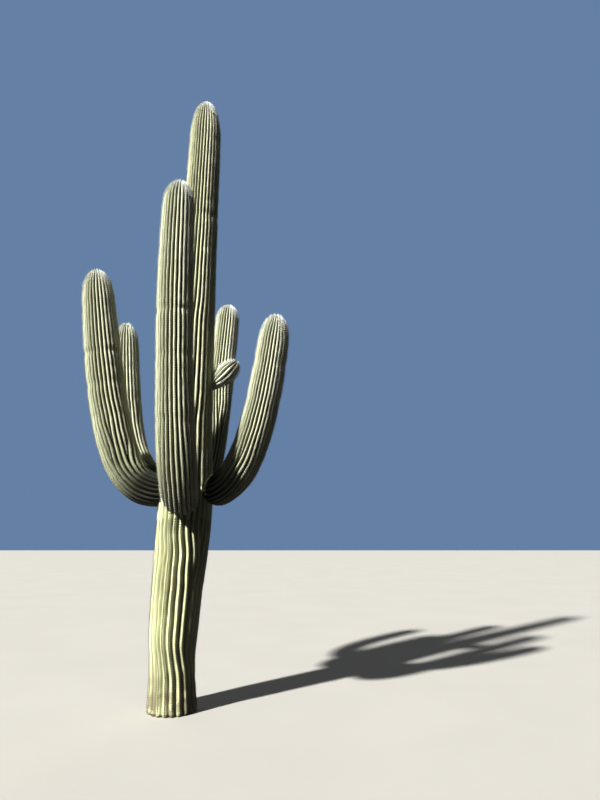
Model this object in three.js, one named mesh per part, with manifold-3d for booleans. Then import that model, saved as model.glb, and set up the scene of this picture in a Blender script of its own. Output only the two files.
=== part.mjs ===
// Saguaro cactus: a ribbed trunk, five long arms that swing out and turn upward, and one bud arm.
// Millimetres, +Z up. The origin is the centre of the flat cut under the trunk, at ground level.
// +X is to the viewer's right and -Y faces the viewer.

import * as THREE from 'three';
import { mergeVertices } from 'three/addons/utils/BufferGeometryUtils.js';
import Module from 'manifold-3d';

// Driving dimensions of the plant
const TRUNK_HEIGHT = 6560;
const TRUNK_SWAY = [ // how far its centreline stands to +X at some heights
  [0, 0], [500, -20], [950, -8], [1400, 22], [1800, 43], [2600, 43],
  [4300, 68], [5300, 88], [6100, 101], [TRUNK_HEIGHT, 100],
];
const ARM_ORIGIN_X = 20; // the upright line in the trunk that the arms' reaches are measured from
const CLEARANCE = 0.3; // left between neighbouring solids
const NECK_ALLOWANCE = 0.9; // growth of the trunk that leaves the clearance on a rib's steep flank too

// Ribs: a rib is a fold of the skin, as deep as a share of its width
const YOUNG_RIB_WIDTH = 0.06; // of a grown rib, where a new rib starts in a valley
const YOUNG_RIB_GROWTH = 350; // length over which a new rib comes to full width

// Spacing of the rings of points along a limb
const LONGEST_STEP = 330;
const SHARPEST_TURN = 0.19; // radians between two rings
const TURN_PROBE = 20;
const TIP_RINGS = 5;
const SHORTEST_REST = 1.5; // a rest of a stretch that is shorter than this many steps is one step
const CURVE_DIVISIONS = 1000; // for a limb's length along its curve

// Each limb: its ribs, its radii at shares of its length, and how its tip rounds off.
// depths are the ribs' depth over their width, youngRibs the distance at which a later rib starts.
const TRUNK = {
  name: 'trunk',
  ribs: 31,
  ribPhase: 0.83,
  youngRibs: {
    2: 3730, 4: 1050, 7: 1050, 10: 2640, 12: 2200, 13: 1200, 15: 2740, 18: 3840, 26: 1050, 28: 1350, 30: 300,
  },
  radii: [
    [0, 232], [0.03, 219], [0.07, 214], [0.11, 231], [0.15, 240], [0.21, 257], [0.265, 266], [0.32, 267],
    [0.38, 250], [0.5, 230], [0.66, 202], [0.8, 183], [0.9, 172], [1, 164],
  ],
  depths: [[0, 0.34], [0.15, 0.44], [0.3, 0.62], [0.5, 0.7], [1, 0.7]],
  neck: 1,
  neckLength: 300,
  tipLength: 485,
  tipPower: 2,
};

// Each arm leaves the trunk at an azimuth and a height, swings out, droops a little and rises to its tip.
// column is the straight reach of the curve below the tip, and lean its slant away from the trunk.
// The shifts move its root, middle and tip sideways. neckLength is what it widens over from its root.
const ARMS = [
  {
    name: 'front_arm',
    azimuth: 281, rootReach: 100, rootHeight: 2100, droop: 640, swing: 719,
    tipReach: 783, tipHeight: 5008, tipShift: -162, midShift: -182, lean: -0.4, column: 2300, rootShift: 0,
    ribs: 26, ribPhase: 0, youngRibs: { 4: 700, 12: 900, 22: 800 },
    radii: [
      [0, 160], [0.13, 169], [0.22, 179], [0.32, 179], [0.45, 171], [0.7, 168], [0.9, 152], [1, 140],
    ],
    depths: [[0, 0.54], [0.3, 0.68], [1, 0.68]],
    neck: 0.8, neckLength: 300, tipLength: 298, tipPower: 2.3, split: 0.26,
  },
  {
    name: 'left_arm',
    azimuth: 187, rootReach: 100, rootHeight: 2030, droop: 30, swing: 517,
    tipReach: 1018, tipHeight: 4379, tipShift: 0, midShift: 0, lean: 7.5, column: 2105, rootShift: 0,
    ribs: 28, ribPhase: 0.37, youngRibs: { 4: 530, 6: 770, 9: 510, 16: 1010, 19: 730, 24: 710 },
    radii: [[0, 170], [0.3, 188], [0.6, 186], [0.85, 165], [1, 146]],
    depths: [[0, 0.54], [0.3, 0.68], [1, 0.68]],
    neck: 0.85, neckLength: 300, tipLength: 326, tipPower: 2.2, split: 0.27,
  },
  {
    name: 'right_arm',
    azimuth: 332, rootReach: 200, rootHeight: 2025, droop: 34, swing: 437,
    tipReach: 1064, tipHeight: 3737, tipShift: 12, midShift: 0, lean: 6.6, column: 1416, rootShift: 90,
    ribs: 28, ribPhase: 0.79, youngRibs: { 2: 630, 12: 410, 15: 630, 18: 620, 21: 530, 27: 600 },
    radii: [[0, 160], [0.3, 167], [0.6, 159], [0.85, 147], [1, 125]],
    depths: [[0, 0.54], [0.3, 0.68], [1, 0.68]],
    neck: 0.5, neckLength: 200, tipLength: 279, tipPower: 2.3, split: 0.3,
  },
  {
    name: 'rear_left_arm',
    azimuth: 140, rootReach: 100, rootHeight: 2150, droop: 30, swing: 620,
    tipReach: 1205, tipHeight: 4103, tipShift: 0, midShift: 0, lean: 3.8, column: 1724, rootShift: 0,
    ribs: 25, ribPhase: 0.29, youngRibs: { 10: 1170, 13: 1200, 22: 500 },
    radii: [[0, 130], [0.3, 140], [0.6, 152], [0.85, 145], [1, 128]],
    depths: [[0, 0.54], [0.3, 0.66], [1, 0.66]],
    neck: 0.85, neckLength: 300, tipLength: 308, tipPower: 2, split: 0.34,
  },
  {
    name: 'rear_right_arm',
    azimuth: 73, rootReach: 100, rootHeight: 2100, droop: 30, swing: 550,
    tipReach: 986, tipHeight: 4394, tipShift: 0, midShift: 0, lean: 9.5, column: 2093, rootShift: 0,
    ribs: 25, ribPhase: 0, youngRibs: { 14: 1040, 16: 900, 19: 1200 },
    radii: [[0, 130], [0.3, 141], [0.85, 141], [1, 129]],
    depths: [[0, 0.54], [0.3, 0.66], [1, 0.66]],
    neck: 0.85, neckLength: 300, tipLength: 245, tipPower: 2.1, split: 0.24,
  },
  {
    name: 'bud_arm',
    azimuth: 0, rootReach: 187, rootHeight: 3085, droop: -40, swing: 85,
    tipReach: 519, tipHeight: 3392, tipShift: 0, midShift: 0, lean: 43, column: 140, rootShift: 0,
    ribs: 14, ribPhase: 0, youngRibs: {},
    radii: [[0, 50], [0.19, 58], [0.37, 88], [0.5, 102], [0.65, 107], [1, 107]],
    depths: [[0, 0.5], [1, 0.5]],
    neck: 1, neckLength: 300, tipLength: 200, tipPower: 2, split: null,
  },
];

// Finishes
const FINISHES = {
  trunk: { color: 0xb9bf78, roughness: 0.78 },
  arm: { color: 0xa9b071, roughness: 0.76 },
  bud: { color: 0x96a066, roughness: 0.74 },
};

const UP = new THREE.Vector3(0, 0, 1);

// A smooth curve through [position, value] pairs, read at x and level beyond both ends.
function throughKeys(keys, x) {
  const at = THREE.MathUtils.clamp(x, keys[0][0], keys[keys.length - 1][0]);
  let i = 0;
  while (i < keys.length - 2 && at >= keys[i + 1][0]) i += 1;
  const slope = (k) => (keys[k + 1][1] - keys[k][1]) / (keys[k + 1][0] - keys[k][0]);
  const tangent = (k) => {
    if (k === 0) return slope(0);
    if (k === keys.length - 1) return slope(k - 1);
    return (slope(k - 1) + slope(k)) / 2;
  };
  const span = keys[i + 1][0] - keys[i][0];
  const t = (at - keys[i][0]) / span;
  const t2 = t * t;
  const t3 = t2 * t;
  return (2 * t3 - 3 * t2 + 1) * keys[i][1] + (t3 - 2 * t2 + t) * span * tangent(i)
    + (3 * t2 - 2 * t3) * keys[i + 1][1] + (t3 - t2) * span * tangent(i + 1);
}

// The trunk's centreline, from its foot to its tip.
class TrunkLine extends THREE.Curve {
  getPoint(t, target = new THREE.Vector3()) {
    const height = t * TRUNK_HEIGHT;
    return target.set(throughKeys(TRUNK_SWAY, height), 0, height);
  }
}

// The trunk with its centreline and the direction that its sections are measured from.
// Its sections are level, so that the cut at the ground is flat.
function trunkLimb() {
  return { ...TRUNK, curve: new TrunkLine(), side: new THREE.Vector3(0, 1, 0), level: true };
}

// An arm's centreline, in the upright plane at its azimuth but for the small sideways shifts.
function armLimb(arm) {
  const azimuth = THREE.MathUtils.degToRad(arm.azimuth);
  const lean = THREE.MathUtils.degToRad(arm.lean);
  const out = new THREE.Vector3(Math.cos(azimuth), Math.sin(azimuth), 0);
  const side = new THREE.Vector3(-Math.sin(azimuth), Math.cos(azimuth), 0);
  const place = (reach, height, shift) => new THREE.Vector3(ARM_ORIGIN_X, 0, 0)
    .addScaledVector(out, reach).addScaledVector(UP, height).addScaledVector(side, shift);
  const curve = new THREE.CubicBezierCurve3(
    place(arm.rootReach, arm.rootHeight, arm.rootShift),
    place(arm.rootReach + arm.swing, arm.rootHeight - arm.droop, 0),
    place(
      arm.tipReach - arm.column * Math.sin(lean),
      arm.tipHeight - arm.column * Math.cos(lean),
      arm.midShift,
    ),
    place(arm.tipReach, arm.tipHeight, arm.tipShift),
  );
  return { ...arm, curve, side, level: false };
}

// Centre and axes of a limb's section. normal is the outer side of an arm's bend.
function frameAt(limb, distance) {
  const u = THREE.MathUtils.clamp(distance / limb.length, 0, 1);
  const centre = limb.curve.getPointAt(u);
  const tangent = limb.level ? UP : limb.curve.getTangentAt(u);
  const side = limb.side.clone().addScaledVector(tangent, -limb.side.dot(tangent)).normalize();
  const normal = new THREE.Vector3().crossVectors(side, tangent);
  return { centre, tangent, side, normal };
}

// Radius over the ribs' crests: the taper, the narrow neck at the trunk and the rounded tip.
function radiusAt(limb, distance) {
  const taper = throughKeys(limb.radii, distance / limb.length);
  const neck = THREE.MathUtils.smoothstep(distance, 0, limb.neckLength);
  const toTip = THREE.MathUtils.clamp((limb.length - distance) / limb.tipLength, 0, 1);
  const dome = Math.sqrt(Math.max(0, 1 - (1 - toTip) ** limb.tipPower));
  return taper * (limb.neck + (1 - limb.neck) * neck) * dome;
}

// Share of its full width that each rib has at a distance along the limb.
function ribWidths(limb, distance) {
  return Array.from({ length: limb.ribs }, (_, rib) => {
    const start = limb.youngRibs[rib];
    if (start === undefined) return 1;
    const grown = THREE.MathUtils.smoothstep(distance, start, start + YOUNG_RIB_GROWTH);
    return YOUNG_RIB_WIDTH + (1 - YOUNG_RIB_WIDTH) * grown;
  });
}

// One ring of points: each rib gives its valley and then its crest, anticlockwise seen from the tip.
function ringAt(limb, distance, growth) {
  const { centre, side, normal } = frameAt(limb, distance);
  const radius = radiusAt(limb, distance);
  const widths = ribWidths(limb, distance);
  const total = widths.reduce((sum, width) => sum + width, 0);
  const depth = throughKeys(limb.depths, distance / limb.length) * 2 * Math.PI * radius / total;
  const points = [];
  const add = (turn, r) => {
    const angle = 2 * Math.PI * (turn + limb.ribPhase / limb.ribs);
    points.push(centre.clone()
      .addScaledVector(normal, (r + growth) * Math.cos(angle))
      .addScaledVector(side, (r + growth) * Math.sin(angle)));
  };
  let turn = -0.5 / limb.ribs;
  for (const width of widths) {
    add(turn, radius - depth);
    add(turn + width / total / 2, radius - depth * (1 - width));
    turn += width / total;
  }
  return points;
}

// Distances of the rings: a long step on a straight stretch, shorter ones round a bend.
function ringDistances(limb, from, to) {
  const distances = [from];
  const last = Math.min(to, limb.length - limb.tipLength);
  let at = from;
  while (at < last) {
    const turn = frameAt(limb, at).tangent.angleTo(frameAt(limb, at + TURN_PROBE).tangent) / TURN_PROBE;
    const step = Math.min(LONGEST_STEP, SHARPEST_TURN / turn);
    const remaining = last - at;
    at = remaining < SHORTEST_REST * step ? last : at + step;
    distances.push(at);
  }
  if (to >= limb.length) {
    for (let ring = 1; ring < TIP_RINGS; ring += 1) {
      const toTip = 1 - Math.sin(ring / TIP_RINGS * Math.PI / 2);
      distances.push(limb.length - toTip * limb.tipLength);
    }
  }
  return distances;
}

// A closed stretch of a limb, flat at its cuts, and pointed where it ends in the limb's own tip.
function limbGeometry(limb, from, to, growth = 0) {
  const distances = ringDistances(limb, from, to);
  const columns = limb.ribs * 2;
  const vertices = distances.flatMap((distance) => ringAt(limb, distance, growth));
  const first = vertices.push(frameAt(limb, from).centre) - 1;
  const last = vertices.push(frameAt(limb, to).centre) - 1;
  const faces = [];
  for (let ring = 0; ring < distances.length - 1; ring += 1) {
    for (let column = 0; column < columns; column += 1) {
      const a = ring * columns + column;
      const b = ring * columns + (column + 1) % columns;
      faces.push(a, b, b + columns, a, b + columns, a + columns);
    }
  }
  const top = (distances.length - 1) * columns;
  for (let column = 0; column < columns; column += 1) {
    const next = (column + 1) % columns;
    faces.push(first, next, column, last, top + column, top + next);
  }
  const geometry = new THREE.BufferGeometry().setFromPoints(vertices);
  geometry.setIndex(faces);
  return geometry;
}

const wasm = await Module();
wasm.setup();

function toSolid(geometry) {
  const merged = mergeVertices(geometry);
  return new wasm.Manifold(new wasm.Mesh({
    numProp: 3,
    vertProperties: new Float32Array(merged.attributes.position.array),
    triVerts: new Uint32Array(merged.index.array),
  }));
}

function toGeometry(solid) {
  const mesh = solid.getMesh();
  const geometry = new THREE.BufferGeometry();
  geometry.setAttribute('position', new THREE.BufferAttribute(mesh.vertProperties, 3));
  geometry.setIndex(new THREE.BufferAttribute(mesh.triVerts, 1));
  return geometry;
}

function addNode(group, name, geometry, finish) {
  const material = new THREE.MeshStandardMaterial({ ...finish, metalness: 0, flatShading: true });
  geometry.computeVertexNormals();
  const mesh = new THREE.Mesh(geometry, material);
  mesh.name = name;
  group.add(mesh);
}

// The plant: the trunk whole, each long arm as an elbow and a column, the bud arm in one
const plant = new THREE.Group();
plant.name = 'saguaro_cactus';

function measured(limb) {
  limb.curve.arcLengthDivisions = CURVE_DIVISIONS;
  return { ...limb, length: limb.curve.getLength() };
}

const trunk = measured(trunkLimb());
addNode(plant, trunk.name, limbGeometry(trunk, 0, trunk.length), FINISHES.trunk);

// What an arm's neck is cut by: the trunk and the necks made before it, each a little larger than it is.
let neighbours = toSolid(limbGeometry(trunk, 0, trunk.length, NECK_ALLOWANCE));

for (const arm of ARMS) {
  const limb = measured(armLimb(arm));
  const hasElbow = arm.split !== null;
  const bend = hasElbow ? arm.split * limb.length : limb.length;
  const neckEnd = hasElbow ? bend - CLEARANCE / 2 : limb.length;
  const neck = toSolid(limbGeometry(limb, 0, neckEnd)).subtract(neighbours);
  addNode(
    plant,
    hasElbow ? `${arm.name}_elbow` : arm.name,
    toGeometry(neck),
    hasElbow ? FINISHES.arm : FINISHES.bud,
  );
  if (hasElbow) {
    addNode(
      plant,
      `${arm.name}_column`,
      limbGeometry(limb, bend + CLEARANCE / 2, limb.length),
      FINISHES.arm,
    );
  }
  neighbours = neighbours.add(toSolid(limbGeometry(limb, 0, neckEnd, NECK_ALLOWANCE)));
}

export default plant;
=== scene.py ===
"""Saguaro cactus: fluted skins, areoles and spines on the stems of the frame, in metres."""

import math

import bpy
import numpy as np
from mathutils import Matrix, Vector


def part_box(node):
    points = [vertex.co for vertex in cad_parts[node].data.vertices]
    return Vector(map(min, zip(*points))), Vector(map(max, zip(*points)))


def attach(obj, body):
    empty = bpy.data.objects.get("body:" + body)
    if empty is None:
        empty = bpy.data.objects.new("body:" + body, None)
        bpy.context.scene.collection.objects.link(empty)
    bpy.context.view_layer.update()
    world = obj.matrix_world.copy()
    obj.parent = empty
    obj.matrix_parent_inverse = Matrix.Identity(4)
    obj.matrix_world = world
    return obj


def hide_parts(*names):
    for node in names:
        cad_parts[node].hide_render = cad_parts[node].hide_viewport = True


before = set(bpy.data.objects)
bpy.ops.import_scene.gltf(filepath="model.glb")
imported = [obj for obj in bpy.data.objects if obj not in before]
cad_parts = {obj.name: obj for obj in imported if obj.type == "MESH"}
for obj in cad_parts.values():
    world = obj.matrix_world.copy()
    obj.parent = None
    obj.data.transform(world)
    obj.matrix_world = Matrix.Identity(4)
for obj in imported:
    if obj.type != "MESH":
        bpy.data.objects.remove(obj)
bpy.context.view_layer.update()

bl_info = {
    "name": "Saguaro Cactus",
    "version": (1, 0, 0),
    "blender": (4, 5, 0),
    "location": "View3D > Sidebar > Saguaro",
    "description": "Dresses the stems of a saguaro cactus with ribbed skin, areoles and spines",
    "category": "Add Mesh",
}

# Driving dimensions of the plant
TRUNK_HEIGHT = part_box("trunk")[1].z
TRUNK_SWAY = [
    (0, 0), (0.50, -0.020), (0.95, -0.008), (1.40, 0.022), (1.80, 0.043), (2.60, 0.043),
    (4.30, 0.068), (5.30, 0.088), (6.10, 0.101), (TRUNK_HEIGHT, 0.100),
]
ARM_ORIGIN_X = 0.020
YOUNG_RIB_WIDTH = 0.06
YOUNG_RIB_GROWTH = 0.350

# The stems. radii and depths are read at shares of a stem's length. A depth is a rib's depth over its
# width. young_ribs gives the distance from the stem's foot at which a later rib starts in a valley.
# waists gives the narrow places that dry seasons left: distance below the tip, depth and half length.
# row_start is the distance from the foot at which the areoles begin.
TRUNK = dict(
    name="trunk", nodes=("trunk",),
    ribs=31, rib_phase=0.83,
    young_ribs={
        2: 3.73, 4: 1.05, 7: 1.05, 10: 2.64, 12: 2.20, 13: 1.20, 15: 2.74, 18: 3.84, 26: 1.05, 28: 1.35,
        30: 0.30,
    },
    radii=[
        (0, 0.232), (0.03, 0.219), (0.07, 0.214), (0.11, 0.231), (0.15, 0.240), (0.21, 0.257),
        (0.265, 0.266), (0.32, 0.267), (0.38, 0.250), (0.5, 0.230), (0.66, 0.202), (0.8, 0.183),
        (0.9, 0.172), (1, 0.164),
    ],
    depths=[(0, 0.34), (0.15, 0.44), (0.3, 0.62), (0.5, 0.70), (1, 0.70)],
    neck=1.0, neck_length=0.30, tip_length=0.485, tip_power=2.0, tip_sink=0.030,
    row_start=0.04,
    waists=[(1.34, 0.004, 0.05), (1.52, 0.009, 0.028), (1.90, 0.006, 0.05), (2.65, 0.006, 0.04)],
)
ARM_DEPTHS = [(0, 0.54), (0.3, 0.68), (1, 0.68)]
REAR_ARM_DEPTHS = [(0, 0.54), (0.3, 0.66), (1, 0.66)]


def long_arm(name, **sizes):
    """Sizes of an arm that is two solids, an elbow and a column, with what most such arms share."""
    shared = dict(
        name=name, nodes=(f"{name}_elbow", f"{name}_column"), root_reach=0.10, root_shift=0.0,
        tip_shift=0.0, mid_shift=0.0, depths=ARM_DEPTHS, neck=0.85, neck_length=0.30, tip_sink=0.014,
        row_start=0.45,
    )
    return shared | sizes


ARMS = [
    long_arm(
        "front_arm",
        azimuth=281, root_height=2.10, droop=0.64, swing=0.719,
        tip_reach=0.783, tip_height=5.008, tip_shift=-0.162, mid_shift=-0.182, lean=-0.4, column=2.30,
        ribs=26, rib_phase=0.0, young_ribs={4: 0.70, 12: 0.90, 22: 0.80},
        radii=[
            (0, 0.160), (0.13, 0.169), (0.22, 0.179), (0.32, 0.179), (0.45, 0.171), (0.7, 0.168),
            (0.9, 0.152), (1, 0.140),
        ],
        neck=0.80, tip_length=0.298, tip_power=2.3,
        waists=[(0.72, 0.006, 0.05), (1.37, 0.010, 0.030), (1.80, 0.006, 0.035), (2.40, 0.005, 0.040)],
    ),
    long_arm(
        "left_arm",
        azimuth=187, root_height=2.03, droop=0.03, swing=0.517,
        tip_reach=1.018, tip_height=4.379, lean=7.5, column=2.105,
        ribs=28, rib_phase=0.37, young_ribs={4: 0.53, 6: 0.77, 9: 0.51, 16: 1.01, 19: 0.73, 24: 0.71},
        radii=[(0, 0.170), (0.3, 0.188), (0.6, 0.186), (0.85, 0.165), (1, 0.146)],
        tip_length=0.326, tip_power=2.2,
        waists=[(0.95, 0.010, 0.028), (1.28, 0.007, 0.035)],
    ),
    long_arm(
        "right_arm",
        azimuth=332, root_reach=0.20, root_height=2.025, droop=0.034, swing=0.437, root_shift=0.09,
        tip_reach=1.064, tip_height=3.737, tip_shift=0.012, lean=6.6, column=1.416,
        ribs=28, rib_phase=0.79, young_ribs={2: 0.63, 12: 0.41, 15: 0.63, 18: 0.62, 21: 0.53, 27: 0.60},
        radii=[(0, 0.160), (0.3, 0.167), (0.6, 0.159), (0.85, 0.147), (1, 0.125)],
        neck=0.50, neck_length=0.20, tip_length=0.279, tip_power=2.3,
        waists=[(0.50, 0.004, 0.05), (0.90, 0.005, 0.05)],
    ),
    long_arm(
        "rear_left_arm",
        azimuth=140, root_height=2.15, droop=0.03, swing=0.62,
        tip_reach=1.205, tip_height=4.103, lean=3.8, column=1.724,
        ribs=25, rib_phase=0.29, young_ribs={10: 1.17, 13: 1.20, 22: 0.50},
        radii=[(0, 0.130), (0.3, 0.140), (0.6, 0.152), (0.85, 0.145), (1, 0.128)],
        depths=REAR_ARM_DEPTHS, tip_length=0.308, tip_power=2.0,
        waists=[(0.62, 0.004, 0.05)],
    ),
    long_arm(
        "rear_right_arm",
        azimuth=73, root_height=2.10, droop=0.03, swing=0.55,
        tip_reach=0.986, tip_height=4.394, lean=9.5, column=2.093,
        ribs=25, rib_phase=0.0, young_ribs={14: 1.04, 16: 0.90, 19: 1.20},
        radii=[(0, 0.130), (0.3, 0.141), (0.85, 0.141), (1, 0.129)],
        depths=REAR_ARM_DEPTHS, tip_length=0.245, tip_power=2.1,
        waists=[(0.70, 0.005, 0.05)],
    ),
    dict(
        name="bud_arm", nodes=("bud_arm",),
        azimuth=0, root_reach=0.187, root_height=3.085, droop=-0.04, swing=0.085, root_shift=0.0,
        tip_reach=0.519, tip_height=3.392, tip_shift=0.0, mid_shift=0.0, lean=43, column=0.14,
        ribs=14, rib_phase=0.0, young_ribs={},
        radii=[(0, 0.050), (0.19, 0.058), (0.37, 0.088), (0.5, 0.102), (0.65, 0.107), (1, 0.107)],
        depths=[(0, 0.50), (1, 0.50)], neck=1.0, neck_length=0.30, tip_length=0.20, tip_power=2.0,
        tip_sink=0.010, row_start=0.10,
        waists=[],
    ),
]

# Fixed habits of the plant's growth. The waves' lengths are in metres, the stretch a share.
CENTRELINE_SAMPLES = 2001
RIB_ROUNDNESS = 1.75
SWAY_WAVES = (0.27, 0.61, 1.3)
BAND_WAVES = (0.16, 0.37, 0.9)
SWELL_WAVES = (0.11, 0.3)
WAVE_STRETCH = (0.8, 1.25)
SEED = 11

# Rings round a tip: how many more than evenly spaced ones, and how many at least
TIP_RINGS = 1.6
LEAST_TIP_RINGS = 6

# The zones of growth. The first two end this far below the tip, and the last is the trunk's skin under
# this height.
ZONES = ("tip", "young", "grown", "old")
TIP_ZONE = 0.20
YOUNG_ZONE = 0.90
OLD_HEIGHT = 1.75

# Areoles: their distance at the very tip over the usual one, the bare share of a young rib's growth, the
# bare length at the tip, the stem's radii under which only every second and every fourth rib keeps them,
# and the step along a rib that gives its direction
TIP_SPACING = 0.5
YOUNG_RIB_BARE = 0.4
BARE_TIP = 0.004
CROWDED_RADIUS = 0.085
TIGHT_RADIUS = 0.045
STEP_AHEAD = 0.002

# Areoles inside another stem, or this close to it, are left out
OVERLAP_MARGIN = 0.004
OVERLAP_SAMPLES = 160
OVERLAP_BATCH = 4000

# The felt cushions. Their length and height are over half their width.
AREOLE_SINK = 0.0015
PAD_SIDES = 6
PAD_LENGTH = 1.25
PAD_HEIGHT = 0.75

# The spines: how far they stray from an even fan, the angles at which the radial ones leave the skin, the
# spread of the lengths, and how far from the areole's middle they start
SPINE_SIDES = 3
SPINE_STRAY = 0.3
SPINE_FOOT = 0.002
RADIAL_LIFT = (0.25, 0.65)
LENGTH_SPREAD = {"radial": (0.7, 1.25), "central": (0.65, 1.2)}

# For each zone: how many radial and central spines, their lengths, the angles at which the central ones
# leave the skin, how far all stand up the stem, how thick they are and how wide the felt is over its
# usual size
HABITS = {
    "tip": dict(
        radial=3, central=10, radial_length=0.010, central_length=0.022, lift=(1.15, 1.50), up=0.05,
        thick=1.6, felt=0.9),
    "young": dict(
        radial=4, central=4, radial_length=0.012, central_length=0.019, lift=(1.00, 1.45), up=0.10,
        thick=1.7, felt=1.0),
    "grown": dict(
        radial=4, central=3, radial_length=0.012, central_length=0.018, lift=(0.80, 1.40), up=0.05,
        thick=1.5, felt=1.0),
    "old": dict(
        radial=5, central=2, radial_length=0.010, central_length=0.015, lift=(0.75, 1.35), up=-0.15,
        thick=1.2, felt=1.7),
}

# Patches of the skin's patterns for each metre. The streaks are drawn out along the height.
BROAD, STREAK, MOTTLE = 2.6, 30.0, 95.0
STREAK_STRETCH = (1.0, 1.0, 0.18)
PORES, DENTS, WANDER = 420.0, 38.0, 24.0
SPECKS, RAGGED, SCARRED = 34.0, 160.0, 3.1
CORK_PATCHES, CORK_GRAIN, PLEAT_EDGE = 9.0, 130.0, 30.0

# Where the colours change between the valleys, at 0, painted near black as shade, and the crests, at 1
FLANK_RISE = (0.15, 0.55)
CREST_RISE = (0.52, 0.92)
AGED_RISE = (0.1, 0.6)

# Distances along a stem over which its skin changes: woolly at the tip, young to aged (on an arm's elbow
# also darkened as painted shade), and darkened at the joint of an arm by this share, as painted shade
WOOLLY_TIP = 0.025
TRUNK_AGEING = (2.4, 1.1)
ARM_AGE_AND_SHADE = (1.25, 0.35)
PAINTED_JOINT_SHADE_SPAN = (0.30, 0.56)
PAINTED_JOINT_SHADE = 0.13

# Cork up to this height, and the pleats on the trunk's front: their middle, the half sizes at which they
# end and are full, how far back they reach, their distance and how much painted shade darkens their creases
CORK_HEIGHTS = (0.55, 0.05)
PLEATS_X = 0.02
PLEATS_Z = 1.68
PLEATS_HALF_WIDTH = (0.075, 0.045)
PLEATS_HALF_HEIGHT = (0.085, 0.06)
PLEATS_FRONT = (-0.05, -0.1)
PLEAT_SPACING = 0.026
PAINTED_PLEAT_SHADE = 0.45

# The photo's camera. The horizon lies this many pixels under the middle of a picture 800 pixels high.
EYE_HEIGHT = 1.60
EYE_DISTANCE = 6.10
EYE_ACROSS = 1.195
LENS_MM = 27.0
FILM_MM = 36.0
PICTURE_HEIGHT = 800
HORIZON_DROP = 135
EYE_TILT = math.atan(HORIZON_DROP / (PICTURE_HEIGHT * LENS_MM / FILM_MM))

# The studio: the floor's half width, the sun's colour, and how square to the light from behind a direction
# is where that light starts and where it is full
FLOOR_REACH = 60.0
SUN_COLOUR = (1.0, 0.985, 0.93)
RIM_EDGE = (0.3, 0.95)


def smoothstep(x, low, high):
    """0 below low, 1 above high, and a smooth rise between them."""
    t = np.clip((np.asarray(x, float) - low) / (high - low), 0, 1)
    return t * t * (3 - 2 * t)


def through_keys(keys, x):
    """A smooth curve through (position, value) pairs, level beyond both ends."""
    at, value = np.array(keys, float).T
    slope = np.diff(value) / np.diff(at)
    tangent = np.concatenate([slope[:1], (slope[:-1] + slope[1:]) / 2, slope[-1:]])
    x = np.clip(np.asarray(x, float), at[0], at[-1])
    i = np.clip(np.searchsorted(at, x, side="right") - 1, 0, len(at) - 2)
    span = at[i + 1] - at[i]
    t = (x - at[i]) / span
    low = (1 + 2 * t) * (1 - t) ** 2 * value[i] + t * (1 - t) ** 2 * span * tangent[i]
    high = t * t * (3 - 2 * t) * value[i + 1] + t * t * (t - 1) * span * tangent[i + 1]
    return low + high


def unit(vectors):
    """Rows of vectors at length one."""
    return vectors / np.linalg.norm(vectors, axis=-1, keepdims=True)


def waves(x, streams, lengths, rng):
    """Seeded sums of slow waves along x, one column for each stream, mostly within one either way."""
    total = np.zeros((len(x), streams))
    for length in lengths:
        phase = rng.uniform(0, 2 * np.pi, streams)
        stretch = rng.uniform(*WAVE_STRETCH, streams)
        total += np.sin(2 * np.pi * np.asarray(x)[:, None] / (length * stretch) + phase)
    return total / len(lengths)


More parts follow.
